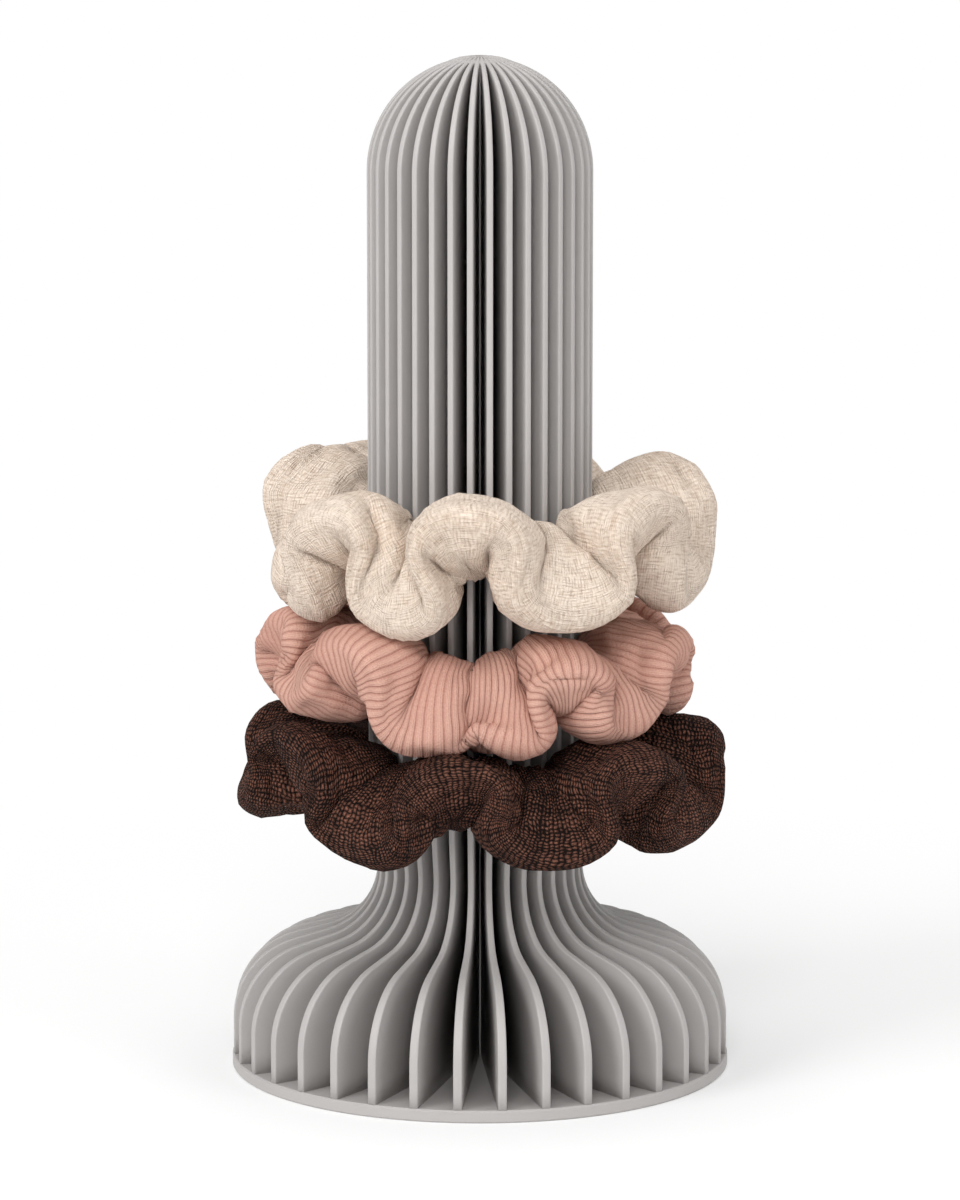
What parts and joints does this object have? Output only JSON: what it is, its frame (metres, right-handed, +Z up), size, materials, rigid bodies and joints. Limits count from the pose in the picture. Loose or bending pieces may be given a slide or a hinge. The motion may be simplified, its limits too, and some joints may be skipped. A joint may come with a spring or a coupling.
{
  "type": "hair tie holder",
  "caption": "Upright hair tie holder: a domed post of radial fins on a flared round foot, with gathered fabric scrunchies stacked over the neck.",
  "frame": {"origin": "centre of the underside of the base plate, on the surface that the holder stands on", "axes": "+Z up along the post, the longest extent; -Y is the side that the picture shows; +X is the picture's right"},
  "size_m": [0.12, 0.12, 0.2428],
  "materials": {
    "holder_plastic": "matte, light warm grey, with faint horizontal layer lines",
    "brown_fabric": "chunky looped terry, dark chocolate",
    "pink_fabric": "ribbed knit, dusty pink",
    "cream_fabric": "crinkled cotton gauze, warm cream",
    "elastic_cord": "off-white covered elastic"
  },
  "bodies": {
    "holder": {"base_plate": "holder_plastic", "core": "holder_plastic", "fin_01": "holder_plastic", "fin_02": "holder_plastic", "fin_03": "holder_plastic", "fin_04": "holder_plastic", "fin_05": "holder_plastic", "fin_06": "holder_plastic", "fin_07": "holder_plastic", "fin_08": "holder_plastic", "fin_09": "holder_plastic", "fin_10": "holder_plastic", "fin_11": "holder_plastic", "fin_12": "holder_plastic", "fin_13": "holder_plastic", "fin_14": "holder_plastic", "fin_15": "holder_plastic", "fin_16": "holder_plastic", "fin_17": "holder_plastic", "fin_18": "holder_plastic", "fin_19": "holder_plastic", "fin_20": "holder_plastic", "fin_21": "holder_plastic", "fin_22": "holder_plastic", "fin_23": "holder_plastic", "fin_24": "holder_plastic", "fin_25": "holder_plastic", "fin_26": "holder_plastic", "fin_27": "holder_plastic", "fin_28": "holder_plastic", "fin_29": "holder_plastic", "fin_30": "holder_plastic", "fin_31": "holder_plastic", "fin_32": "holder_plastic", "fin_33": "holder_plastic", "fin_34": "holder_plastic", "fin_35": "holder_plastic", "fin_36": "holder_plastic"},
    "brown": {"brown_cover": "brown_fabric", "brown_elastic": "elastic_cord"},
    "pink": {"pink_cover": "pink_fabric", "pink_elastic": "elastic_cord"},
    "cream": {"cream_cover": "cream_fabric", "cream_elastic": "elastic_cord"}
  },
  "joints": [
    {"name": "brown_lift", "type": "slide", "parent": "holder", "child": "brown", "axis": [0, 0, 1], "range_m": [0, 0.2]},
    {"name": "pink_lift", "type": "slide", "parent": "brown", "child": "pink", "axis": [0, 0, 1], "range_m": [0, 0.17]},
    {"name": "cream_lift", "type": "slide", "parent": "pink", "child": "cream", "axis": [0, 0, 1], "range_m": [0, 0.14]}
  ]
}
